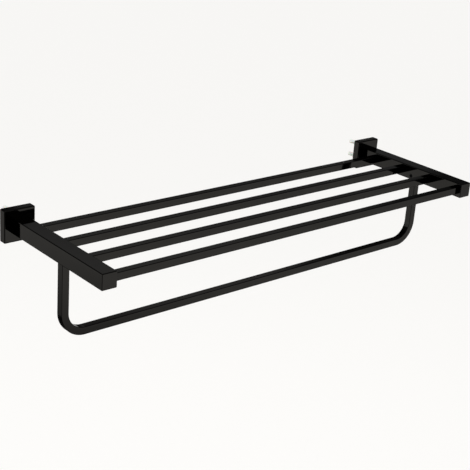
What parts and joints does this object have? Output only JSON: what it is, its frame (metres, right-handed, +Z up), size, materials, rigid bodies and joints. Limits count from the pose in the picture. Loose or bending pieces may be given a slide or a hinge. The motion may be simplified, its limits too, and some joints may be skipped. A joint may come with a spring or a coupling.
{
  "type": "wall-mounted towel rack",
  "caption": "Wall-mounted towel rack: a shelf of square bars between two square arms on square flanges, with a U-shaped towel rail hung below.",
  "frame": {"origin": "on the wall plane, midway between the two flange centres, at the arms' mid-height", "axes": "+X to the right along the shelf bars, seen from the front; +Y into the wall, so the rack stands out along -Y; +Z up"},
  "size_m": [0.642, 0.2273, 0.13],
  "materials": {
    "black_gloss": "smooth glossy black coating over stainless steel tube",
    "black_steel": "black oxide steel, slightly oiled",
    "bracket_zinc": "dull cast zinc",
    "block_steel": "sawn and milled stainless steel",
    "screw_steel": "bright stainless steel",
    "plug_nylon": "natural white nylon"
  },
  "bodies": {
    "root": {"flange_cover_left": "black_gloss", "flange_cover_right": "black_gloss", "arm_left": "black_gloss", "arm_right": "black_gloss", "arm_end_cap_left": "black_gloss", "arm_end_cap_right": "black_gloss", "shelf_bar_1": "black_gloss", "shelf_bar_2": "black_gloss", "shelf_bar_3": "black_gloss", "shelf_bar_4": "black_gloss", "towel_rail": "black_gloss", "rail_grub_screw_left": "black_steel", "rail_grub_screw_right": "black_steel", "flange_grub_screw_left": "black_steel", "flange_grub_screw_right": "black_steel", "wall_bracket_left": "bracket_zinc", "wall_bracket_right": "bracket_zinc", "arm_screw_left": "screw_steel", "arm_screw_right": "screw_steel", "arm_root_block_left": "block_steel", "arm_root_block_right": "block_steel", "rail_socket_left": "block_steel", "rail_socket_right": "block_steel", "wall_screw_left_upper": "screw_steel", "wall_screw_left_lower": "screw_steel", "wall_screw_right_upper": "screw_steel", "wall_screw_right_lower": "screw_steel", "wall_plug_left_upper": "plug_nylon", "wall_plug_left_lower": "plug_nylon", "wall_plug_right_upper": "plug_nylon", "wall_plug_right_lower": "plug_nylon"}
  },
  "joints": []
}
